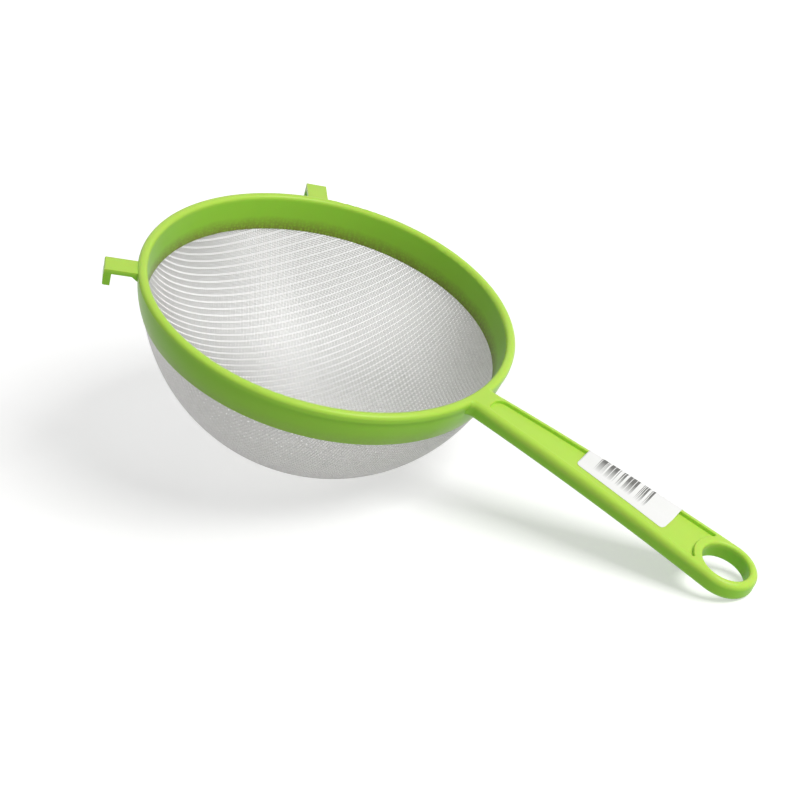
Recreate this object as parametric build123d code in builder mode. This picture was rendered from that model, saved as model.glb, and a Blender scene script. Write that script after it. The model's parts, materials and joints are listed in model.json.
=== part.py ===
from build123d import *
from math import asin, atan2, cos, degrees, hypot, sin, sqrt
import os

# A hand sieve: one plastic moulding (rim band, hooks and handle) with a woven wire bowl
# moulded into its lower edge, and a paper label on the handle. Lengths are in mm.
#
# The rim frame has its origin at the centre of the rim's top, +X towards the handle and
# +Z along the rim's axis. The whole sieve is drawn in it, and it is placed so that the
# sieve rests on a table, on the bottom of its bowl and on the end of its handle.

# Rim band
rim_radius = 100.0
bead_width = 4.9
bead_height = 4.0
bead_round = 2.2
bead_step = 0.7  # the wall stands back this far under the bead
band_height = 20.7
band_taper = 4.1  # the band's lower edge is this much smaller than its top
edge_width = 2.7
lip_chamfer = 0.3

# Wire bowl
bowl_centre = 2.5  # height of the bowl's centre over the rim's top
cloth_thickness = 0.9
embed_depth = 10.0
embed_clearance = 0.05
grid_openings = 10  # across the bowl: the fine weave is drawn as a coarse grid
grid_width = 1.6
grid_azimuth = 62.0

# Handle
handle_thickness = 9.4
root_half_width = 8.6
root_fillet = 4.0
crown_radius = 1724.0  # the handle is arched lengthwise
crown_reach = 65.0  # from the rim to the arch's highest point
crown_top = 1.3
handle_round = 2.8

# Hanging eye
eye_reach = 141.4  # from the rim to the eye's centre
eye_radius = 11.6
eye_rim = 4.3
eye_round = 1.4

# Recesses on both sides of the handle's web
flange_width = 3.4
top_recess = 1.9
web_thickness = 2.6
recess_reach = 6.3  # from the rim to the recess
recess_corner = 4.5
collar_corner = 1.0
recess_lip = 0.5

# Rest hooks on the rim, opposite the handle
hook_azimuth = 134.6
hook_reach = 16.3
hook_width = 11.5
hook_drop = 1.5  # the arm's top under the rim's top
arm_thickness = 2.6
leg_height = 9.4
leg_thickness = 3.8
gusset = 2.4
hook_round = 0.8

# Paper label, stuck in the recess and folded over one flange
label_setback = 83.4  # from the eye's centre back to the label's start
label_length = 52.0
label_thickness = 0.15
label_gap = 0.05
label_near_start = -2.7
label_near_end = -6.4
label_ramp = 1.6
label_overlap = 1.6  # how far it reaches down the handle's side

edge_radius = rim_radius - band_taper
root_radius = rim_radius - bead_width + bead_round  # the handle starts in the band's wall
crown_position = rim_radius + crown_reach
recess_start = rim_radius + recess_reach
eye_position = rim_radius + eye_reach
eye_outer = eye_radius + eye_rim
handle_end = eye_position + eye_outer
label_start = eye_position - label_setback

# The cloth runs through the middle of the band's lower edge.
edge_middle = edge_radius - edge_width / 2
bowl_radius = hypot(edge_middle, band_height + bowl_centre) + cloth_thickness / 2


def arch_height(x, depth):
    """Height of the arched surface that lies depth under the handle's top, at x."""
    radius = crown_radius - depth
    return crown_top - crown_radius + sqrt(radius**2 - (x - crown_position) ** 2)


# Resting pose: the end's lower rounding and the bowl's bottom lie on one plane.
end_x = handle_end - handle_round
end_z = arch_height(end_x, handle_thickness - handle_round)
contact_rise = bowl_centre - end_z
contact_drop = bowl_radius - handle_round
tilt = asin(contact_drop / hypot(end_x, contact_rise)) - atan2(contact_rise, end_x)
tip_z = arch_height(end_x, handle_round)
front = end_x * cos(tilt) + tip_z * sin(tilt) + handle_round
back = edge_radius * cos(tilt) + (band_height - lip_chamfer) * sin(tilt)
rest_x = (back - front) / 2
rest_z = bowl_radius - bowl_centre * cos(tilt)
rim_frame = Location((rest_x, 0, rest_z), (0, degrees(tilt), 0))
side_plane = Plane(rim_frame * Plane.XZ.location)
plan_depth = 2 * handle_thickness
plan_plane = Plane(rim_frame).offset(-plan_depth)  # well under the handle
rim_axis = Axis(plan_plane.origin, plan_plane.z_dir)
handle_axis = Axis(plan_plane.origin, plan_plane.x_dir)


def sphere_angle(radius, z):
    """Angle, in degrees, at which a circle about the bowl's centre reaches height z."""
    return degrees(asin((z - bowl_centre) / radius))


def arched_slab(top_depth, bottom_depth, start, end):
    """Outline, in side view, of the handle between two depths under its arched top."""
    top = ThreePointArc(
        (start, arch_height(start, top_depth)),
        ((start + end) / 2, arch_height((start + end) / 2, top_depth)),
        (end, arch_height(end, top_depth)),
    )
    bottom = ThreePointArc(
        (start, arch_height(start, bottom_depth)),
        ((start + end) / 2, arch_height((start + end) / 2, bottom_depth)),
        (end, arch_height(end, bottom_depth)),
    )
    Line(top @ 0, bottom @ 0)
    Line(top @ 1, bottom @ 1)


def half_width(x):
    """Half the handle's width at x, on the straight side that ends tangent to the eye."""
    length = eye_position - root_radius
    lean = asin((eye_outer - root_half_width) / length)
    return (eye_outer - (eye_position - x) * sin(lean)) / cos(lean)


def slot_arc(radius, top, bottom):
    """Stretch, between two heights, of a circle about the bowl's centre."""
    start = sphere_angle(radius, bottom)
    return CenterArc((0, bowl_centre), radius, start, sphere_angle(radius, top) - start)


def bowl_arc(radius, top):
    """Section of the bowl at one radius, from its bottom up to a height."""
    return CenterArc((0, bowl_centre), radius, -90, sphere_angle(radius, top) + 90)


def paper_face(x, near, lift):
    """One face of the label in section at x, lift above the handle; returns its ends."""
    side = half_width(x) + lift
    top = arch_height(x, 0) + lift
    floor = arch_height(x, top_recess) + lift
    flange = half_width(x) - flange_width - lift
    bend_radius = handle_round + lift
    climb = Polyline(
        (near, floor),
        (flange - label_ramp, floor),
        (flange, top),
        (side - bend_radius, top),
    )
    bend_end = (side, top - bend_radius)
    RadiusArc(climb @ 1, bend_end, bend_radius)
    tail = Line(bend_end, (side, top - bend_radius - label_overlap))
    return climb @ 0, tail @ 1


# Recess tools: the plan of the web, one cutter for the top and one for the underside
with BuildSketch(plan_plane) as web_plan:
    Polygon(
        (recess_start, half_width(recess_start) - flange_width),
        (eye_position, half_width(eye_position) - flange_width),
        (eye_position, flange_width - half_width(eye_position)),
        (recess_start, flange_width - half_width(recess_start)),
        align=None,
    )
    with Locations((eye_position, 0)):
        Circle(eye_outer, mode=Mode.SUBTRACT)
    corners = web_plan.vertices().sort_by(Axis.X)
    fillet(corners[:2], recess_corner)
    fillet(web_plan.vertices().sort_by(Axis.X)[-2:], collar_corner)

with BuildPart() as top_cutter:
    with BuildSketch(side_plane):
        with BuildLine():
            arched_slab(-eye_rim, top_recess, root_radius, handle_end)
        make_face()
    extrude(amount=eye_outer, both=True)
    extrude(web_plan.sketch, 2 * plan_depth, dir=rim_axis.direction, mode=Mode.INTERSECT)

with BuildPart() as under_cutter:
    with BuildSketch(side_plane):
        with BuildLine():
            arched_slab(top_recess + web_thickness, plan_depth, root_radius, handle_end)
        make_face()
    extrude(amount=eye_outer, both=True)
    extrude(web_plan.sketch, 2 * plan_depth, dir=rim_axis.direction, mode=Mode.INTERSECT)

# Handle: arched side view cut to its plan, with a flared root, eye and recesses
with BuildPart() as handle:
    with BuildSketch(side_plane):
        with BuildLine():
            arched_slab(0, handle_thickness, root_radius - root_fillet, handle_end + eye_rim)
        make_face()
    extrude(amount=2 * eye_outer, both=True)
    with BuildSketch(plan_plane) as handle_plan:
        with Locations((eye_position, 0)):
            Circle(eye_outer)
        with Locations((root_radius, 0)):
            Rectangle(lip_chamfer, 2 * root_half_width)
        make_hull()
        Circle(rim_radius - bead_step - lip_chamfer)
        throat_corners = handle_plan.vertices().filter_by_position(
            Axis.X, root_radius, rim_radius
        )
        fillet(throat_corners, root_fillet)
    extrude(amount=2 * plan_depth, mode=Mode.INTERSECT)
    for end in (0, -1):
        arched_face = handle.faces().sort_by(rim_axis)[end]
        fillet(arched_face.edges().sort_by(handle_axis)[-1], handle_round)
    with BuildSketch(plan_plane):
        Circle(root_radius)
    extrude(amount=2 * plan_depth, mode=Mode.SUBTRACT)

    with BuildSketch(plan_plane):
        with Locations((eye_position, 0)):
            Circle(eye_radius)
    extrude(amount=2 * plan_depth, mode=Mode.SUBTRACT)
    eye_edges = handle.edges(Select.LAST).filter_by(GeomType.LINE, reverse=True)
    fillet(eye_edges, eye_round)
    add(top_cutter.part, mode=Mode.SUBTRACT)
    top_face = handle.faces().sort_by(rim_axis)[-1]
    fillet(top_face.inner_wires().sort_by(handle_axis)[0].edges(), recess_lip)
    add(under_cutter.part, mode=Mode.SUBTRACT)

# Moulded frame: the revolved band with the handle and both hooks on it
with BuildPart() as moulded_frame:
    with BuildSketch(side_plane) as band_section:
        with BuildLine():
            bead_top = Line((rim_radius - bead_width, 0), (rim_radius, 0))
            bead_side = Line(bead_top @ 1, (rim_radius, -bead_height))
            bead_under = Line(bead_side @ 1, (rim_radius - bead_step, -bead_height))
            wall = TangentArc(bead_under @ 1, (edge_radius, -band_height), tangent=(0, -1))
            lip = Line(wall @ 1, (edge_radius - edge_width, -band_height))
            Line(lip @ 1, bead_top @ 0)
        make_face()
        fillet(band_section.vertices().group_by(Axis.Y)[-1], bead_round)
        chamfer(band_section.vertices().group_by(Axis.Y)[0], lip_chamfer)
        with BuildLine():
            slot_outside = bowl_radius + embed_clearance
            slot_inside = bowl_radius - cloth_thickness - embed_clearance
            slot_top = embed_depth - band_height + embed_clearance
            slot_bottom = -band_height - lip_chamfer
            outer = slot_arc(slot_outside, slot_top, slot_bottom)
            inner = slot_arc(slot_inside, slot_top, slot_bottom)
            Line(outer @ 0, inner @ 0)
            Line(outer @ 1, inner @ 1)
        make_face(mode=Mode.SUBTRACT)
    revolve(axis=rim_axis)
    add(handle.part)
    for azimuth in (hook_azimuth, -hook_azimuth):
        turned = rim_frame * Location((0, 0, 0), (0, 0, azimuth))
        with BuildSketch(Plane(turned * Plane.XZ.location)) as hook_profile:
            tip = rim_radius + hook_reach
            with BuildLine():
                Polyline(
                    (root_radius, -hook_drop),
                    (tip, -hook_drop),
                    (tip, -hook_drop - leg_height),
                    (tip - leg_thickness, -hook_drop - leg_height),
                    (tip - leg_thickness, -hook_drop - arm_thickness),
                    (rim_radius + gusset, -hook_drop - arm_thickness),
                    (rim_radius - bead_step, -hook_drop - arm_thickness - gusset),
                    (root_radius, -hook_drop - arm_thickness - gusset),
                    close=True,
                )
            make_face()
            fillet(hook_profile.vertices().group_by(Axis.X)[-1], hook_round)
        extrude(amount=hook_width / 2, both=True)
moulded_frame.part.label = "moulded_frame"

# Openings of the cloth, below the band: what two fans of strands leave between them. Every
# strand lies on a plane through the bowl's centre.
with BuildPart() as cloth_openings:
    with BuildSketch(Plane(rim_frame).offset(-band_height)):
        Circle(rim_radius)
    extrude(amount=-bowl_radius)
    strand_angle = 2 * (90 + sphere_angle(bowl_radius, -band_height)) / grid_openings
    first_strand = -90 - strand_angle * (grid_openings / 2 - 1)
    for azimuth in (grid_azimuth, grid_azimuth + 90):
        across = Location((0, 0, bowl_centre), (0, 0, azimuth)) * Plane.YZ.location
        with BuildSketch(Plane(rim_frame * across).offset(-rim_radius)):
            Circle(2 * rim_radius)
            for strand in range(grid_openings - 1):
                with Locations(Location((0, 0), first_strand + strand * strand_angle)):
                    Rectangle(
                        2 * rim_radius,
                        grid_width,
                        align=(Align.MIN, Align.CENTER),
                        mode=Mode.SUBTRACT,
                    )
        extrude(amount=2 * rim_radius, mode=Mode.INTERSECT)

# Wire bowl: the shell of the cloth with its openings, its rim held in the band's slot
with BuildPart() as mesh_bowl:
    with BuildSketch(side_plane):
        with BuildLine():
            cloth_top = embed_depth - band_height
            outside = bowl_arc(bowl_radius, cloth_top)
            inside = bowl_arc(bowl_radius - cloth_thickness, cloth_top)
            Line(outside @ 0, inside @ 0)
            Line(outside @ 1, inside @ 1)
        make_face()
    revolve(axis=rim_axis)
    add(cloth_openings.part, mode=Mode.SUBTRACT)
mesh_bowl.part.label = "mesh_bowl"

# Paper label: lies in the recess, climbs the flange and folds down the handle's side
with BuildPart() as paper_label:
    for share in (0, 0.5, 1):
        x = label_start + share * label_length
        near = label_near_start + share * (label_near_end - label_near_start)
        with BuildSketch(Plane(rim_frame * Location((x, 0, 0)) * Plane.YZ.location)):
            with BuildLine():
                under = paper_face(x, near, label_gap)
                upper = paper_face(x, near, label_gap + label_thickness)
                Line(under[0], upper[0])
                Line(under[1], upper[1])
            make_face()
    loft()
paper_label.part.label = "paper_label"

os.makedirs("parts", exist_ok=True)
for piece in (moulded_frame, mesh_bowl, paper_label):
    export_step(piece.part, f"parts/{piece.part.label}.step")
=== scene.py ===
"""Hand sieve: finishes, woven wire bowl and label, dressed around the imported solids.

Everything is in metres in the row frame: the sieve rests on the table at z = 0, its
handle towards +X. Sizes are written in millimetres and turned to metres by one factor.
"""

import json  # noqa: E402
import logging  # noqa: E402
import math  # noqa: E402
from dataclasses import dataclass, field  # noqa: E402
from enum import Enum  # noqa: E402

import bpy  # noqa: E402
import numpy as np  # noqa: E402
from mathutils import Matrix, Vector  # noqa: E402


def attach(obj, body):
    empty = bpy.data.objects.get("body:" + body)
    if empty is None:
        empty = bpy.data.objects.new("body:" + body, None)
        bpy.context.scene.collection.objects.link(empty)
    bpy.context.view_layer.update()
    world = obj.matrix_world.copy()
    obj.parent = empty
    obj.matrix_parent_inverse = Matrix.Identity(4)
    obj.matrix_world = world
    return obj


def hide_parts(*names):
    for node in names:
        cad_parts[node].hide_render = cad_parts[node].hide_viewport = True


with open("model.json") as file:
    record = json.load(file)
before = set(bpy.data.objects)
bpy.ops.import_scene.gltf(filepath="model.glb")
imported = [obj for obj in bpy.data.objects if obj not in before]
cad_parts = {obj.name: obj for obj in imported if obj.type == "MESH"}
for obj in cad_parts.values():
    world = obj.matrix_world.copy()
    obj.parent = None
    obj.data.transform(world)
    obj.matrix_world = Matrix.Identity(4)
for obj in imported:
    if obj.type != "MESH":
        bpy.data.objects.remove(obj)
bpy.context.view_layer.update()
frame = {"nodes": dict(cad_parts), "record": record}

LOG = logging.getLogger("sieve")
MM = 0.001
DISC_UNIT_MM = 100.0  # unit of the flat disc on which the cloth's wires are counted
SENSOR_WIDTH_MM = 36.0


# ---------------------------------------------------------------- frames and colours


@dataclass(frozen=True)
class RimFrame:
    """The rim's own frame: centre of the rim's top, x to the handle, z along its axis."""

    origin: tuple[float, float, float]
    tilt: float

    @classmethod
    def from_record(cls, eye_reach_mm: float, eye_drop_mm: float) -> "RimFrame":
        """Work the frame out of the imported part's hanging eye.

        Args:
            eye_reach_mm: Distance from the rim's axis to the eye's, across them.
            eye_drop_mm: Depth of the mount's point under the rim's top.

        Returns:
            The frame.
        """
        mounts = {mount["name"]: mount for mount in frame["record"]["mounts"]}
        eye = mounts["hanging_eye"]
        axis = Vector(eye["axis"]).normalized()
        along = Vector((axis.z, 0.0, -axis.x))
        place = Vector(eye["pos_m"])
        origin = place - along * eye_reach_mm * MM + axis * eye_drop_mm * MM
        return cls(tuple(origin), math.atan2(axis.x, axis.z))

    def rotation(self) -> np.ndarray:
        """Return the 3 by 3 matrix that turns rim directions into row directions."""
        cosine, sine = math.cos(self.tilt), math.sin(self.tilt)
        return np.array([[cosine, 0, sine], [0, 1, 0], [-sine, 0, cosine]])

    def to_row(self, points_mm: np.ndarray) -> np.ndarray:
        """Turn rim points in millimetres into row points in metres.

        Args:
            points_mm: Points as rows of x, y, z.

        Returns:
            The same points in the row frame.
        """
        return points_mm * MM @ self.rotation().T + np.array(self.origin)

    def mapping(self) -> tuple[tuple, tuple]:
        """Return the location and rotation by which a Mapping node gives rim metres."""
        shift = -(self.rotation().T @ np.array(self.origin))
        return tuple(shift), (0.0, -self.tilt, 0.0)


def linear(srgb_hex: str) -> tuple[float, float, float, float]:
    """Turn an sRGB hex colour into linear RGBA.

    Args:
        srgb_hex: Six hex digits, with or without a leading hash.

    Returns:
        The linear colour, opaque.
    """
    digits = srgb_hex.lstrip("#")
    values = [int(digits[i : i + 2], 16) / 255 for i in (0, 2, 4)]
    curve = [v / 12.92 if v <= 0.04045 else ((v + 0.055) / 1.055) ** 2.4 for v in values]
    return (*curve, 1.0)


def add_node(
    tree: bpy.types.NodeTree, kind: str, settings: dict | None = None, links: dict | None = None
) -> bpy.types.Node:
    """Add a node with its settings and links.

    Args:
        tree: Node tree to add it to.
        kind: Blender's type name of the node.
        settings: Values for sockets, and for properties of the node itself, by name.
        links: For each input's name or number, the output socket that feeds it.

    Returns:
        The new node.
    """
    node = tree.nodes.new(kind)
    for name, value in (settings or {}).items():
        if isinstance(name, str) and hasattr(node, name):
            setattr(node, name, value)
        else:
            node.inputs[name].default_value = value
    for name, source in (links or {}).items():
        tree.links.new(source, node.inputs[name])
    return node


def new_material(name: str) -> tuple[bpy.types.Material, bpy.types.NodeTree, bpy.types.Node]:
    """Make an empty node material.

    Args:
        name: The material's name.

    Returns:
        The material, its node tree and its output node.
    """
    material = bpy.data.materials.new(name)
    material.use_nodes = True
    tree = material.node_tree
    tree.nodes.clear()
    output = add_node(tree, "ShaderNodeOutputMaterial")
    return material, tree, output


# ------------------------------------------------------------------------- finishes


@dataclass(frozen=True)
class MouldedPolypropylene:
    """Lime-green polypropylene, injection moulded, with a semi-gloss mould finish.

    Places are in rim millimetres: heights over the rim's top, and distances from its axis.
    A pair gives where a change starts and where it is complete.
    """

    colour: str = "#BEE359"
    shade: str = "#B5DD50"
    # Painted shade: the deeper green laid on the band's wall and on the handle's and hooks' flanks.
    painted_shade_green: str = "#9CD740"
    embedded: str = "#7F8438"
    rough_low: float = 0.27
    rough_high: float = 0.38
    ior: float = 1.49
    specular: float = 0.22
    glow: float = 0.35
    glow_depth_mm: float = 6.0
    glow_reach: tuple[float, float, float] = (0.35, 1.0, 0.1)
    cloud_mm: float = 45.0
    grain_mm: float = 0.9
    grain_height_mm: float = 0.006
    wall_top: tuple[float, float] = (-0.6, -3.2)
    wall_reach: tuple[float, float] = (102.0, 99.5)
    side_top: tuple[float, float] = (-1.8, -3.8)
    ragged_mm: float = 6.0
    ragged_drop_mm: float = 3.0
    tint_margins: tuple[float, float] = (1.5, 1.0)
    tint_most: float = 0.95
    dot_mm: float = 1.5
    dot_scatter: float = 0.55
    dot_edge: tuple[float, float] = (0.15, 0.6)
    dot_tint: tuple[float, float] = (0.45, 1.0)
    inner_radius: float = 95.1
    inner_slope: float = 0.092
    inner_edge: tuple[float, float] = (0.4, 2.1)
    inner_tint: tuple[float, float] = (1.0, 0.3)

    def build(self, rim: RimFrame, band_height: float, embed_show: float) -> bpy.types.Material:
        """Build the material.

        Args:
            rim: The rim's frame.
            band_height: Height of the band, in millimetres.
            embed_show: How far up the band the cloth shows through, in millimetres.

        Returns:
            The finished material.
        """
        # The real one is unfilled polypropylene from a lightly polished mould. It gives
        # the eye a soft, slightly waxy gloss and a colour that glows a little in thin walls.
        # The mould's grain is really much finer, and is drawn coarser so that it shows.
        material, tree, output = new_material("moulded_polypropylene")
        place = add_node(tree, "ShaderNodeTexCoord")
        location, rotation = rim.mapping()
        at_rim = add_node(
            tree,
            "ShaderNodeMapping",
            {"Location": location, "Rotation": rotation},
            {"Vector": place.outputs["Object"]},
        )
        cloud = add_node(
            tree,
            "ShaderNodeTexNoise",
            {"Scale": 1 / (self.cloud_mm * MM), "Detail": 3.0},
            {"Vector": at_rim.outputs[0]},
        )
        body = add_node(
            tree,
            "ShaderNodeMix",
            {"data_type": "RGBA", 6: linear(self.shade), 7: linear(self.colour)},
            {0: cloud.outputs[0]},
        )
        # Painted shade on the band's wall and on the flanks of the handle and hooks.
        wall = self._paint_shade(tree, at_rim, body)
        colour = self._show_cloth(tree, at_rim, wall, band_height, embed_show)
        rough = add_node(
            tree,
            "ShaderNodeMapRange",
            {"To Min": self.rough_low, "To Max": self.rough_high},
            {"Value": cloud.outputs[0]},
        )
        grain = add_node(
            tree,
            "ShaderNodeTexNoise",
            {"Scale": 1 / (self.grain_mm * MM), "Detail": 2.0},
            {"Vector": at_rim.outputs[0]},
        )
        bump = add_node(
            tree,
            "ShaderNodeBump",
            {"Distance": self.grain_height_mm * MM, "Strength": 0.5},
            {"Height": grain.outputs[0]},
        )
        shader = add_node(
            tree,
            "ShaderNodeBsdfPrincipled",
            {
                "IOR": self.ior,
                "Specular IOR Level": self.specular,
                "Subsurface Weight": self.glow,
                "Subsurface Scale": self.glow_depth_mm * MM,
                "Subsurface Radius": self.glow_reach,
            },
            {
                "Base Color": colour.outputs[2],
                "Roughness": rough.outputs[0],
                "Normal": bump.outputs[0],
            },
        )
        tree.links.new(shader.outputs[0], output.inputs[0])
        return material

    def _radius(self, tree: bpy.types.NodeTree, at_rim: bpy.types.Node) -> bpy.types.Node:
        """Return a node whose Value output is the distance from the rim's axis."""
        flat = add_node(
            tree,
            "ShaderNodeVectorMath",
            {"operation": "MULTIPLY", 1: (1, 1, 0)},
            {0: at_rim.outputs[0]},
        )
        return add_node(tree, "ShaderNodeVectorMath", {"operation": "LENGTH"}, {0: flat.outputs[0]})

    def _paint_shade(
        self, tree: bpy.types.NodeTree, at_rim: bpy.types.Node, body: bpy.types.Node
    ) -> bpy.types.Node:
        """Paint shade on the band's wall and on the handle's and hooks' sides, as a deeper green.

        Args:
            tree: The material's node tree.
            at_rim: Mapping node that gives rim coordinates.
            body: Mix node with the plastic's own colour.

        Returns:
            A mix node whose colour output is the colour with the painted shade.
        """
        # Painted shade: the band's wall, and everything more than a few millimetres under the rim's
        # top, which takes in the handle's and hooks' flanks, are painted a deeper, purer green than
        # the faces that lie flat, for the shade these sides stand in.
        apart = add_node(tree, "ShaderNodeSeparateXYZ", None, {0: at_rim.outputs[0]})
        away = self._radius(tree, at_rim)
        under, inside, side = (
            add_node(
                tree,
                "ShaderNodeMapRange",
                {"From Min": start * MM, "From Max": end * MM},
                {"Value": socket},
            )
            for socket, (start, end) in (
                (apart.outputs[2], self.wall_top),
                (away.outputs["Value"], self.wall_reach),
                (apart.outputs[2], self.side_top),
            )
        )
        share = under
        for operation, other in (("MULTIPLY", inside), ("MAXIMUM", side)):
            share = add_node(
                tree,
                "ShaderNodeMath",
                {"operation": operation},
                {0: share.outputs[0], 1: other.outputs[0]},
            )
        # Mix in the painted shade's deeper green.
        return add_node(
            tree,
            "ShaderNodeMix",
            {"data_type": "RGBA", 7: linear(self.painted_shade_green)},
            {0: share.outputs[0], 6: body.outputs[2]},
        )

    def _show_cloth(
        self,
        tree: bpy.types.NodeTree,
        at_rim: bpy.types.Node,
        body: bpy.types.Node,
        band_height: float,
        embed_show: float,
    ) -> bpy.types.Node:
        """Tint the band's lower edge, where the cloth shows through the thin plastic.

        Args:
            tree: The material's node tree.
            at_rim: Mapping node that gives rim coordinates.
            body: Mix node with the plastic's own colour.
            band_height: Height of the band, in millimetres.
            embed_show: How far up the band the cloth shows, in millimetres.

        Returns:
            A mix node whose colour output is the tinted colour.
        """
        # The dots stand for the cloth's openings behind the plastic. The real ones are
        # finer, and are drawn coarser so that they show.
        apart = add_node(tree, "ShaderNodeSeparateXYZ", None, {0: at_rim.outputs[0]})
        ragged = add_node(
            tree,
            "ShaderNodeTexNoise",
            {"Scale": 1 / (self.ragged_mm * MM), "Detail": 3.0},
            {"Vector": at_rim.outputs[0]},
        )
        height = add_node(
            tree,
            "ShaderNodeMath",
            {"operation": "MULTIPLY_ADD", 1: -self.ragged_drop_mm * MM},
            {0: ragged.outputs[0], 2: apart.outputs[2]},
        )
        above, below = self.tint_margins
        ramp = add_node(
            tree,
            "ShaderNodeMapRange",
            {
                "From Min": (-band_height + embed_show - above) * MM,
                "From Max": (-band_height - below) * MM,
                "To Max": self.tint_most,
            },
            {"Value": height.outputs[0]},
        )
        dots = add_node(
            tree,
            "ShaderNodeTexVoronoi",
            {"Scale": 1 / (self.dot_mm * MM), "Randomness": self.dot_scatter},
            {"Vector": at_rim.outputs[0]},
        )
        dotted = add_node(
            tree,
            "ShaderNodeMapRange",
            {
                "From Min": self.dot_edge[0],
                "From Max": self.dot_edge[1],
                "To Min": self.dot_tint[0],
                "To Max": self.dot_tint[1],
            },
            {"Value": dots.outputs["Distance"]},
        )
        upright = add_node(
            tree,
            "ShaderNodeMath",
            {"operation": "MULTIPLY_ADD", 1: -self.inner_slope},
            {0: apart.outputs[2], 2: self._radius(tree, at_rim).outputs["Value"]},
        )
        inner = add_node(
            tree,
            "ShaderNodeMapRange",
            {
                "From Min": (self.inner_radius + self.inner_edge[0]) * MM,
                "From Max": (self.inner_radius + self.inner_edge[1]) * MM,
                "To Min": self.inner_tint[0],
                "To Max": self.inner_tint[1],
            },
            {"Value": upright.outputs[0]},
        )
        shown = ramp
        for other in (dotted, inner):
            shown = add_node(
                tree,
                "ShaderNodeMath",
                {"operation": "MULTIPLY"},
                {0: shown.outputs[0], 1: other.outputs[0]},
            )
        return add_node(
            tree,
            "ShaderNodeMix",
            {"data_type": "RGBA", 7: linear(self.embedded)},
            {0: shown.outputs[0], 6: body.outputs[2]},
        )


@dataclass(frozen=True)
class DrawnSteelWire:
    """Drawn and bright stainless steel wire."""

    colour: str = "#D8D7D6"
    dull: str = "#C8C7C6"
    rough_low: float = 0.38
    rough_high: float = 0.5
    streak_mm: float = 3.0

    def build(self) -> bpy.types.Material:
        """Return the material, a bright metal with faint drawing marks."""
        # The real one is bright drawn stainless wire: each wire carries a thin, clean
        # highlight, and the cloth looks silvery white where many highlights meet. The
        # drawing marks are really far finer than the streaks, which are drawn coarser.
        material, tree, output = new_material("drawn_steel_wire")
        place = add_node(tree, "ShaderNodeTexCoord")
        streak = add_node(
            tree,
            "ShaderNodeTexNoise",
            {"Scale": 1 / (self.streak_mm * MM), "Detail": 4.0},
            {"Vector": place.outputs["Object"]},
        )
        colour = add_node(
            tree,
            "ShaderNodeMix",
            {"data_type": "RGBA", 6: linear(self.dull), 7: linear(self.colour)},
            {0: streak.outputs[0]},
        )
        rough = add_node(
            tree,
            "ShaderNodeMapRange",
            {"To Min": self.rough_high, "To Max": self.rough_low},
            {"Value": streak.outputs[0]},
        )
        shader = add_node(
            tree,
            "ShaderNodeBsdfPrincipled",
            {"Metallic": 1.0},
            {"Base Color": colour.outputs[2], "Roughness": rough.outputs[0]},
        )
        tree.links.new(shader.outputs[0], output.inputs[0])
        return material


@dataclass(frozen=True)
class CoatedPaper:
    """White coated label paper with a printed field of bars that encode nothing."""

    paper: str = "#F2F2F0"
    ink: str = "#6C6C69"
    rough: float = 0.5
    fibre_mm: float = 0.25
    fibre_height_mm: float = 0.004
    module_mm: float = 0.33

    def build(self, rim: RimFrame, bars: "BarField") -> bpy.types.Material:
        """Build the material.

        Args:
            rim: The rim's frame.
            bars: Where the printed bars lie.

        Returns:
            The finished material.
        """
        # The real one is thermal label paper with a smooth coat: bright white, faintly
        # fibrous, with soft grey-black print. The fibres are drawn coarser than real ones.
        material, tree, output = new_material("coated_paper")
        place = add_node(tree, "ShaderNodeTexCoord")
        location, rotation = rim.mapping()
        at_rim = add_node(
            tree,
            "ShaderNodeMapping",
            {"Location": location, "Rotation": rotation},
            {"Vector": place.outputs["Object"]},
        )
        print_mask = bars.mask(tree, at_rim, self.module_mm)
        colour = add_node(
            tree,
            "ShaderNodeMix",
            {"data_type": "RGBA", 6: linear(self.paper), 7: linear(self.ink)},
            {0: print_mask.outputs[0]},
        )
        fibre = add_node(
            tree,
            "ShaderNodeTexNoise",
            {"Scale": 1 / (self.fibre_mm * MM), "Detail": 3.0},
            {"Vector": at_rim.outputs[0]},
        )
        bump = add_node(
            tree,
            "ShaderNodeBump",
            {"Distance": self.fibre_height_mm * MM, "Strength": 0.4},
            {"Height": fibre.outputs[0]},
        )
        shader = add_node(
            tree,
            "ShaderNodeBsdfPrincipled",
            {"Roughness": self.rough},
            {"Base Color": colour.outputs[2], "Normal": bump.outputs[0]},
        )
        tree.links.new(shader.outputs[0], output.inputs[0])
        return material


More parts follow.
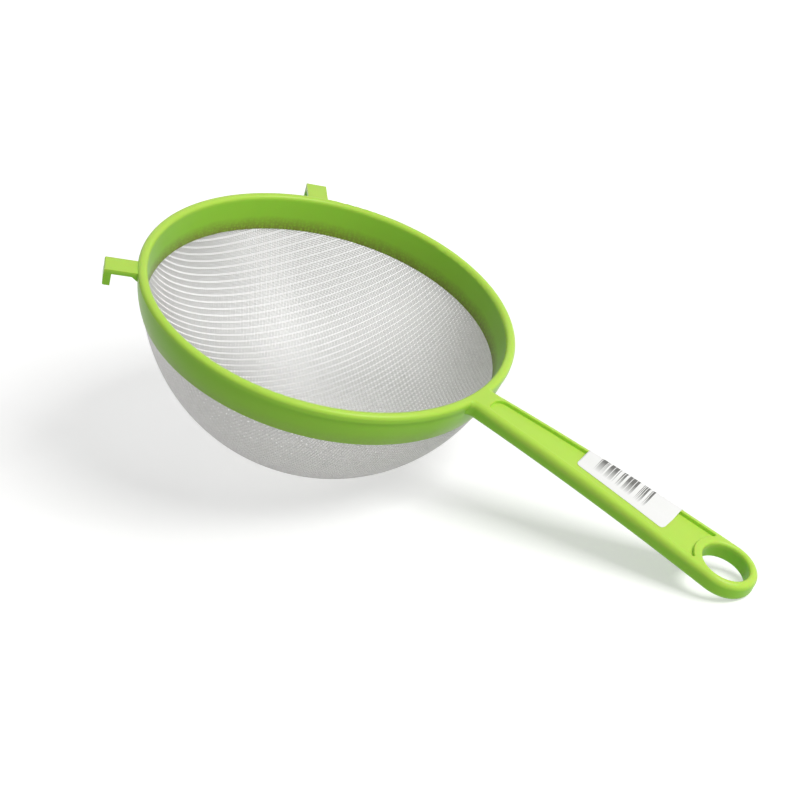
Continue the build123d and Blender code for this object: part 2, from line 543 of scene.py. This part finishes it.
@dataclass(frozen=True)
class BarField:
    """A rectangle of printed bars on the label, in rim millimetres, leaning with it."""

    start: float = 165.5
    end: float = 196.0
    low: float = 0.0
    fade: float = 7.5
    high: float = 13.0
    lean: float = -0.07
    bare_share: float = 0.48

    def mask(
        self, tree: bpy.types.NodeTree, at_rim: bpy.types.Node, module_mm: float
    ) -> bpy.types.Node:
        """Make the print's mask: random dark and light modules inside the rectangle.

        Args:
            tree: The material's node tree.
            at_rim: Mapping node that gives rim coordinates.
            module_mm: Width of the narrowest bar.

        Returns:
            A math node that is 1 on ink and 0 on bare paper.
        """
        apart = add_node(tree, "ShaderNodeSeparateXYZ", None, {0: at_rim.outputs[0]})
        along, across = apart.outputs[0], apart.outputs[1]
        step = add_node(
            tree, "ShaderNodeMath", {"operation": "MULTIPLY", 1: 1 / (module_mm * MM)}, {0: along}
        )
        module = add_node(tree, "ShaderNodeMath", {"operation": "FLOOR"}, {0: step.outputs[0]})
        chance = add_node(
            tree, "ShaderNodeTexWhiteNoise", {"noise_dimensions": "1D"}, {"W": module.outputs[0]}
        )
        mask = add_node(
            tree,
            "ShaderNodeMath",
            {"operation": "GREATER_THAN", 1: self.bare_share},
            {0: chance.outputs[0]},
        )
        leaning = add_node(
            tree,
            "ShaderNodeMath",
            {"operation": "MULTIPLY_ADD", 1: -self.lean},
            {0: along, 2: across},
        )
        shift = -self.lean * (self.start + self.end) / 2 * MM
        for socket, edge, operation in (
            (along, self.start * MM, "GREATER_THAN"),
            (along, self.end * MM, "LESS_THAN"),
            (leaning.outputs[0], self.high * MM + shift, "LESS_THAN"),
        ):
            inside = add_node(
                tree, "ShaderNodeMath", {"operation": operation, 1: edge}, {0: socket}
            )
            mask = add_node(
                tree,
                "ShaderNodeMath",
                {"operation": "MULTIPLY"},
                {0: mask.outputs[0], 1: inside.outputs[0]},
            )
        worn = add_node(
            tree,
            "ShaderNodeMapRange",
            {"From Min": self.low * MM + shift, "From Max": (self.low + self.fade) * MM + shift},
            {"Value": leaning.outputs[0]},
        )
        return add_node(
            tree,
            "ShaderNodeMath",
            {"operation": "MULTIPLY"},
            {0: mask.outputs[0], 1: worn.outputs[0]},
        )


# --------------------------------------------------------------------- mesh building


def mesh_object(name: str, points: np.ndarray, faces: np.ndarray) -> bpy.types.Object:
    """Make a smooth mesh object of faces that all have as many corners.

    Args:
        name: The object's name.
        points: Vertices in row metres.
        faces: Vertex numbers, one row a face.

    Returns:
        The new object, linked to the scene.
    """
    mesh = bpy.data.meshes.new(name)
    count, corners = faces.shape
    mesh.vertices.add(len(points))
    mesh.vertices.foreach_set("co", points.astype(np.float32).ravel())
    mesh.loops.add(count * corners)
    mesh.loops.foreach_set("vertex_index", faces.astype(np.int32).ravel())
    mesh.polygons.add(count)
    mesh.polygons.foreach_set("loop_start", np.arange(0, count * corners, corners, dtype=np.int32))
    mesh.update(calc_edges=True)
    mesh.validate()
    mesh.shade_smooth()
    item = bpy.data.objects.new(name, mesh)
    bpy.context.scene.collection.objects.link(item)
    return item


class Weave(Enum):
    """The two directions of wire in the cloth."""

    WARP = "warp"
    WEFT = "weft"


@dataclass(frozen=True)
class Fade:
    """A smooth change across the flat disc, about a middle value at one place."""

    middle: float
    swing: float
    steepness: float
    place: float

    def at(self, where: np.ndarray) -> np.ndarray:
        """Return the value at places along one axis of the disc."""
        return self.middle + self.swing * np.tanh(self.steepness * (where - self.place))


@dataclass(frozen=True)
class WireSet:
    """All the wires of one direction.

    The bowl is unrolled from its lowest point to a flat disc, x and y in hundreds of
    millimetres. Wire number n lies where the count below equals n, so the straight terms
    give the cloth's count and direction, and the cubic ones how the press spread it. Each
    group of wires is drawn together by a share of their pitch, which fades over the disc.
    """

    straight: tuple[float, float]
    cubic: tuple[float, float, float, float]
    diameter: float
    group: int
    drawn: float
    along: Fade
    across: Fade = Fade(0.75, -0.25, 6.0, 0.7)

    def count(self, x: np.ndarray, y: np.ndarray) -> np.ndarray:
        """Return the wire count at places on the flat disc."""
        a, b = self.straight
        c, d, e, f = self.cubic
        return a * x + b * y + c * x**3 + d * x**2 * y + e * x * y**2 + f * y**3

    def slope(self, x: np.ndarray, y: np.ndarray) -> tuple[np.ndarray, np.ndarray]:
        """Return how fast the wire count grows along x and along y."""
        a, b = self.straight
        c, d, e, f = self.cubic
        along_x = a + 3 * c * x**2 + 2 * d * x * y + e * y**2
        along_y = b + d * x**2 + 2 * e * x * y + 3 * f * y**2
        return along_x, along_y

    def pull(self, numbers: np.ndarray, x: np.ndarray, y: np.ndarray) -> np.ndarray:
        """Return how far each wire is drawn to its group, as a share of the pitch."""
        inward = (self.group - 1) / 2 - np.mod(numbers, self.group)
        return inward * self.drawn * self.along.at(x) * self.across.at(y)


@dataclass
class WireCloth:
    """A disc of plain-woven wire cloth, pressed to a bowl and moulded into the band.

    The real cloth is too fine to show, and is taken to have about twice as many wires, each
    some 0.2 mm thick. They are drawn coarser, at a pitch near 0.9 mm, with about the same
    share of open area. The wires of each way are drawn together in groups, which gives the
    eye the bright curved bands of the real bowl.
    """

    rim: RimFrame
    bowl_radius: float = 97.805
    centre_rise: float = 2.5
    warp: WireSet = WireSet(
        straight=(-103.8, 47.0),
        cubic=(0.76, -16.7, 5.8, 3.68),
        diameter=0.42,
        group=4,
        drawn=0.28,
        along=Fade(0.6, -0.4, 3.0, 0.4),
    )
    weft: WireSet = WireSet(
        straight=(59.6, 84.0),
        cubic=(-1.32, 4.88, -9.04, -2.54),
        diameter=0.32,
        group=2,
        drawn=0.64,
        along=Fade(0.6, 0.4, 3.0, -0.05),
    )
    top: float = -14.0
    sides: int = 5
    strips: int = 5
    fewest_crossings: int = 4
    newton_rounds: int = 25
    easing_rounds: int = 10
    newton_limit: float = 3.0
    newton_error: float = 1e-3
    parts: list[bpy.types.Object] = field(default_factory=list)

    @property
    def crimp(self) -> float:
        """Half the distance between the wires' centres where they cross."""
        return (self.warp.diameter + self.weft.diameter) / 4

    @property
    def middle(self) -> float:
        """Radius of the cloth's middle surface."""
        return self.bowl_radius - self.crimp - self.warp.diameter / 2

    def crossings(self) -> tuple[np.ndarray, int, int]:
        """Find where the wires cross, as directions from the bowl's centre.

        Returns:
            Unit vectors indexed by warp and weft number, not a number where the wires
            don't cross inside the band, and the two numbers at the pole.
        """
        reach = math.acos((self.centre_rise - self.top) / self.middle)
        disc = self.middle * reach / DISC_UNIT_MM
        round_edge = np.linspace(0, 2 * math.pi, 360)
        edge_x, edge_y = disc * np.cos(round_edge), disc * np.sin(round_edge)
        most_i = int(np.abs(self.warp.count(edge_x, edge_y)).max()) + 2
        most_j = int(np.abs(self.weft.count(edge_x, edge_y)).max()) + 2
        want_i, want_j = np.meshgrid(
            np.arange(-most_i, most_i + 1.0), np.arange(-most_j, most_j + 1.0), indexing="ij"
        )
        x, y = np.zeros_like(want_i), np.zeros_like(want_i)
        for number in range(self.newton_rounds):
            share = min(1.0, (number + 1) / self.easing_rounds)
            error_i = self.warp.count(x, y) - self.warp.pull(want_i, x, y) - want_i * share
            error_j = self.weft.count(x, y) - self.weft.pull(want_j, x, y) - want_j * share
            warp_x, warp_y = self.warp.slope(x, y)
            weft_x, weft_y = self.weft.slope(x, y)
            spread = warp_x * weft_y - warp_y * weft_x
            x = x - (error_i * weft_y - error_j * warp_y) / spread
            y = y - (error_j * warp_x - error_i * weft_x) / spread
            x = np.clip(x, -self.newton_limit, self.newton_limit)
            y = np.clip(y, -self.newton_limit, self.newton_limit)
        error = np.abs(error_i) + np.abs(error_j)
        turn = np.hypot(x, y) * DISC_UNIT_MM / self.middle
        heading = np.arctan2(y, x)
        net = np.stack(
            [np.sin(turn) * np.cos(heading), np.sin(turn) * np.sin(heading), -np.cos(turn)], 2
        )
        net[(turn > reach) | (error > self.newton_error)] = np.nan
        return net, most_i, most_j

    def tube(
        self, path: np.ndarray, out: np.ndarray, diameter: float
    ) -> tuple[np.ndarray, np.ndarray]:
        """Sweep a round wire along a path.

        Args:
            path: Points of the wire's centre line, in rim millimetres.
            out: Unit normals of the bowl at those points.
            diameter: The wire's diameter.

        Returns:
            The tube's vertices and its four-cornered faces.
        """
        tangent = np.gradient(path, axis=0)
        tangent /= np.linalg.norm(tangent, axis=1)[:, None]
        side = np.cross(tangent, out)
        side /= np.linalg.norm(side, axis=1)[:, None]
        up = np.cross(side, tangent)
        turn = np.arange(self.sides) * 2 * math.pi / self.sides
        ring = (
            side[:, None, :] * np.cos(turn)[None, :, None]
            + up[:, None, :] * np.sin(turn)[None, :, None]
        )
        points = path[:, None, :] + ring * diameter / 2
        rows, k = len(path), self.sides
        start = (np.arange(rows - 1) * k)[:, None] + np.arange(k)[None]
        after = (np.arange(rows - 1) * k)[:, None] + (np.arange(k) + 1)[None] % k
        faces = np.stack([start, start + k, after + k, after], 2).reshape(-1, 4)
        return points.reshape(-1, 3), faces

    def wires(self, weave: Weave) -> list[tuple[np.ndarray, np.ndarray]]:
        """Make every wire of one direction.

        Args:
            weave: Which direction.

        Returns:
            Vertices and faces of each wire, in rim millimetres.
        """
        net, pole, other_pole = self.crossings()
        diameter, start = self.warp.diameter, 1
        if weave is Weave.WEFT:
            net, pole, other_pole = net.transpose(1, 0, 2), other_pole, pole
            diameter, start = self.weft.diameter, 0
        made = []
        for number, line in enumerate(net):
            inside = np.nonzero(~np.isnan(line[:, 0]))[0]
            if len(inside) < self.fewest_crossings:
                continue
            first, last = inside[0], inside[-1]
            out = line[first : last + 1]
            # Both numbers are counted from the pole, so where one way passes over, the
            # other passes under.
            crossing = np.arange(first, last + 1) - other_pole
            lift = np.cos(math.pi * (number - pole + crossing + start)) * self.crimp
            path = out * (self.middle + lift)[:, None] + np.array([0, 0, self.centre_rise])
            made.append(self.tube(path, out, diameter))
        return made

    def build(self) -> list[bpy.types.Object]:
        """Build the cloth as strips of whole wires.

        Returns:
            The strips, warp first.
        """
        for weave in Weave:
            wires = self.wires(weave)
            for strip, members in enumerate(np.array_split(np.arange(len(wires)), self.strips)):
                points, faces, used = [], [], 0
                for member in members:
                    own_points, own_faces = wires[member]
                    points.append(own_points)
                    faces.append(own_faces + used)
                    used += len(own_points)
                row = self.rim.to_row(np.concatenate(points))
                name = f"{weave.value}_wires_{strip + 1}"
                self.parts.append(mesh_object(name, row, np.concatenate(faces)))
        return self.parts

    def dress(self, finish: DrawnSteelWire) -> None:
        """Give every strip the wire's finish and tie it to the part."""
        material = finish.build()
        for strip in self.parts:
            strip.data.materials.append(material)
            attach(strip, "root")
            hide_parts("mesh_bowl")


@dataclass
class MouldedFrame:
    """The one-piece moulding: bead, band, hooks, handle and eye, carried over from CAD."""

    rim: RimFrame
    eye_reach: float = 241.4
    eye_drop: float = 5.16
    band_height: float = 20.7
    embed_show: float = 8.5

    def dress(self, finish: MouldedPolypropylene) -> bpy.types.Object:
        """Give the moulding its finish.

        Args:
            finish: The plastic's finish.

        Returns:
            The moulding's object.
        """
        item = frame["nodes"]["moulded_frame"]
        material = finish.build(self.rim, self.band_height, self.embed_show)
        item.data.materials.clear()
        item.data.materials.append(material)
        return item


@dataclass
class PaperLabel:
    """The paper label in the handle's recess, folded over the flange on the +Y side."""

    rim: RimFrame
    start: float = 158.0
    length: float = 52.0
    near_start: float = -2.7
    near_end: float = -6.4
    corner: float = 2.5
    thickness: float = 0.12
    lift: float = 0.05
    ramp: float = 8.5
    overlap: float = 1.5
    flange_width: float = 3.4
    recess: float = 1.9
    edge_round: float = 2.8
    crown_radius: float = 1724.0
    crown_position: float = 165.0
    crown_top: float = 1.3
    root: tuple[float, float] = (97.3, 8.6)
    eye: tuple[float, float] = (241.4, 15.9)
    lip_overrun: float = 0.4
    flat_points: int = 30
    climb_points: int = 16
    over_points: int = 6
    turn_points: int = 12
    down_points: int = 5
    columns: int = 80
    rows: int = 60
    part: bpy.types.Object | None = None

    def arch(self, x: np.ndarray, depth: float) -> np.ndarray:
        """Return the height of the handle's arched surface at depth under its top."""
        radius = self.crown_radius - depth
        centre = self.crown_top - self.crown_radius
        return centre + np.sqrt(radius**2 - (x - self.crown_position) ** 2)

    def half_width(self, x: float) -> float:
        """Return half the handle's width at x."""
        length = self.eye[0] - self.root[0]
        lean = math.asin((self.eye[1] - self.root[1]) / length)
        return (self.eye[1] - (self.eye[0] - x) * math.sin(lean)) / math.cos(lean)

    def section(self, x: float, near: float) -> np.ndarray:
        """Trace the label's lower face across the handle at x.

        Args:
            x: Station along the handle.
            near: Where the label starts on the recess floor.

        Returns:
            Points of y and height, from the near edge to the end of the fold.
        """
        side = self.half_width(x) + self.lift
        top = float(self.arch(np.array(x), 0)) + self.lift
        floor = float(self.arch(np.array(x), self.recess)) + self.lift
        lip = self.half_width(x) - self.flange_width
        bend = self.edge_round + self.lift
        climbed = lip + self.lip_overrun
        flat = np.linspace(near, lip - self.ramp, self.flat_points)
        climb = np.linspace(lip - self.ramp, climbed, self.climb_points)[1:]
        share = (climb - climb[0]) / (climb[-1] - climb[0])
        ease = share * share * (3 - 2 * share)
        over = np.linspace(climbed, side - bend, self.over_points)[1:]
        turn = np.linspace(0, math.pi / 2, self.turn_points)[1:]
        down = np.linspace(0, self.overlap, self.down_points)[1:]
        across = [
            flat,
            climb,
            over,
            side - bend + bend * np.sin(turn),
            np.full_like(down, side),
        ]
        height = [
            np.full_like(flat, floor),
            floor + (top - floor) * ease,
            np.full_like(over, top),
            top - bend + bend * np.cos(turn),
            top - bend - down,
        ]
        return np.stack([np.concatenate(across), np.concatenate(height)], 1)

    def build(self) -> bpy.types.Object:
        """Build the label as a thin folded sheet with rounded corners.

        Returns:
            The label's object.
        """
        points = []
        for share in np.linspace(0, 1, self.columns):
            x = self.start + share * self.length
            near = self.near_start + share * (self.near_end - self.near_start)
            line = self.section(x, near)
            steps = np.linalg.norm(np.diff(line, axis=0), axis=1)
            run = np.concatenate([[0], np.cumsum(steps)])
            inset = self._corner_inset(share * self.length)
            places = np.linspace(inset, run[-1] - inset, self.rows)
            y = np.interp(places, run, line[:, 0])
            z = np.interp(places, run, line[:, 1])
            points.append(np.stack([np.full(self.rows, x), y, z], 1))
        grid = np.concatenate(points)
        number = np.arange(self.columns * self.rows).reshape(self.columns, self.rows)
        faces = np.stack(
            [number[:-1, :-1], number[1:, :-1], number[1:, 1:], number[:-1, 1:]], 2
        )
        self.part = mesh_object("price_label", self.rim.to_row(grid), faces.reshape(-1, 4))
        skin = self.part.modifiers.new("paper", "SOLIDIFY")
        skin.thickness = self.thickness * MM
        skin.offset = 1.0
        return self.part

    def _corner_inset(self, along: float) -> float:
        """Return how far the label's rounded corners cut in at a place along it."""
        edge = min(along, self.length - along)
        if edge >= self.corner:
            return 0.0
        return self.corner - math.sqrt(self.corner**2 - (self.corner - edge) ** 2)

    def dress(self, finish: CoatedPaper, bars: BarField) -> None:
        """Print the label and tie it to the part."""
        self.part.data.materials.append(finish.build(self.rim, bars))
        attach(self.part, "root")
        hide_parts("paper_label")


# ----------------------------------------------------------------------------- stage


@dataclass
class Studio:
    """A white sweep, soft light and the camera. Floor and lamp sizes are in metres."""

    camera_mm: tuple[float, float, float] = (365.8, -528.1, 351.6)
    target_mm: tuple[float, float, float] = (-37.0, 10.6, 40.0)
    roll: float = -0.88
    lens: float = 63.3
    floor_size: float = 12.0
    floor_colour: str = "#D6D6D5"
    floor_glow: tuple[float, float] = (0.48, 0.95)
    glow_reach: tuple[float, float] = (0.15, 0.85)
    surround: float = 0.28
    key_place: tuple[float, float, float] = (1.05, 0.08, 1.36)
    key_aim: tuple[float, float, float] = (0.0, 0.0, 0.05)
    key_size: float = 0.8
    key_watts: float = 22.5

    def _seen_rays(self, tree: bpy.types.NodeTree) -> bpy.types.NodeSocket:
        """Tell the rays that show a surface from those that only light others.

        Args:
            tree: The node tree that needs to know.

        Returns:
            A socket that is 1 for what is seen directly, mirrored or through glass.
        """
        path = add_node(tree, "ShaderNodeLightPath")
        seen = path.outputs["Is Camera Ray"]
        for ray in ("Is Glossy Ray", "Is Transmission Ray"):
            either = add_node(
                tree, "ShaderNodeMath", {"operation": "MAXIMUM"}, {0: seen, 1: path.outputs[ray]}
            )
            seen = either.outputs[0]
        return seen

    def floor(self) -> bpy.types.Object:
        """Lay the white table, which shows pure white to the camera outside the shadow."""
        half = self.floor_size / 2
        corners = np.array(
            [[-half, -half, 0], [half, -half, 0], [half, half, 0], [-half, half, 0]]
        )
        item = mesh_object("table", corners, np.array([[0, 1, 2, 3]]))
        material, tree, output = new_material("white_table")
        matt = add_node(tree, "ShaderNodeBsdfDiffuse", {"Color": linear(self.floor_colour)})
        seen = self._seen_rays(tree)
        place = add_node(tree, "ShaderNodeTexCoord")
        away = add_node(
            tree, "ShaderNodeVectorMath", {"operation": "LENGTH"}, {0: place.outputs["Object"]}
        )
        near_glow, far_glow = self.floor_glow
        near, far = self.glow_reach
        level = add_node(
            tree,
            "ShaderNodeMapRange",
            {"From Min": near, "From Max": far, "To Min": near_glow, "To Max": far_glow},
            {"Value": away.outputs["Value"]},
        )
        strength = add_node(
            tree, "ShaderNodeMath", {"operation": "MULTIPLY"}, {0: seen, 1: level.outputs[0]}
        )
        glow = add_node(
            tree,
            "ShaderNodeEmission",
            {"Color": linear("#FFFFFF")},
            {"Strength": strength.outputs[0]},
        )
        both = add_node(
            tree, "ShaderNodeAddShader", None, {0: matt.outputs[0], 1: glow.outputs[0]}
        )
        tree.links.new(both.outputs[0], output.inputs[0])
        item.data.materials.append(material)
        return item

    def world(self) -> None:
        """Set a plain white surround with an even, soft light of its own."""
        world = bpy.data.worlds.new("surround")
        bpy.context.scene.world = world
        world.use_nodes = True
        tree = world.node_tree
        tree.nodes.clear()
        output = add_node(tree, "ShaderNodeOutputWorld")
        shown = self._seen_rays(tree)
        light = add_node(
            tree, "ShaderNodeBackground", {"Color": linear("#FFFFFF"), "Strength": self.surround}
        )
        white = add_node(
            tree, "ShaderNodeBackground", {"Color": linear("#FFFFFF"), "Strength": 1.0}
        )
        mix = add_node(
            tree,
            "ShaderNodeMixShader",
            None,
            {0: shown, 1: light.outputs[0], 2: white.outputs[0]},
        )
        tree.links.new(mix.outputs[0], output.inputs[0])

    def key_lamp(self) -> None:
        """Hang the one square soft box, up on the handle's side."""
        data = bpy.data.lights.new("key", "AREA")
        data.shape = "SQUARE"
        data.size = self.key_size
        data.energy = self.key_watts
        item = bpy.data.objects.new("key", data)
        item.location = self.key_place
        direction = Vector(self.key_aim) - Vector(self.key_place)
        item.rotation_euler = direction.to_track_quat("-Z", "Y").to_euler()
        bpy.context.scene.collection.objects.link(item)

    def camera(self) -> bpy.types.Object:
        """Set the camera up.

        Returns:
            The camera's object.
        """
        data = bpy.data.cameras.new("camera")
        data.sensor_width = SENSOR_WIDTH_MM
        data.lens = self.lens
        item = bpy.data.objects.new("camera", data)
        place = Vector(self.camera_mm) * MM
        toward = Vector(self.target_mm) * MM - place
        turn = toward.to_track_quat("-Z", "Y").to_matrix().to_4x4()
        roll = Matrix.Rotation(math.radians(self.roll), 4, "Z")
        item.matrix_world = Matrix.Translation(place) @ turn @ roll
        bpy.context.scene.collection.objects.link(item)
        bpy.context.scene.camera = item
        return item

    def build(self) -> None:
        """Set the whole stage."""
        self.floor()
        self.world()
        self.key_lamp()
        self.camera()
        bpy.context.scene.view_settings.view_transform = "Standard"


def main() -> None:
    """Build and dress the sieve, then set the stage."""
    logging.basicConfig(level=logging.INFO, format="%(name)s: %(message)s")
    rim = RimFrame.from_record(MouldedFrame.eye_reach, MouldedFrame.eye_drop)
    LOG.info("moulding %s", MouldedFrame(rim).dress(MouldedPolypropylene()).name)
    cloth = WireCloth(rim)
    strips = cloth.build()
    cloth.dress(DrawnSteelWire())
    faces = sum(len(strip.data.polygons) for strip in strips)
    LOG.info("cloth in %d strips, %d faces", len(strips), faces)
    label = PaperLabel(rim)
    LOG.info("label %s", label.build().name)
    label.dress(CoatedPaper(), BarField())
    Studio().build()


if __name__ == "__main__":
    main()
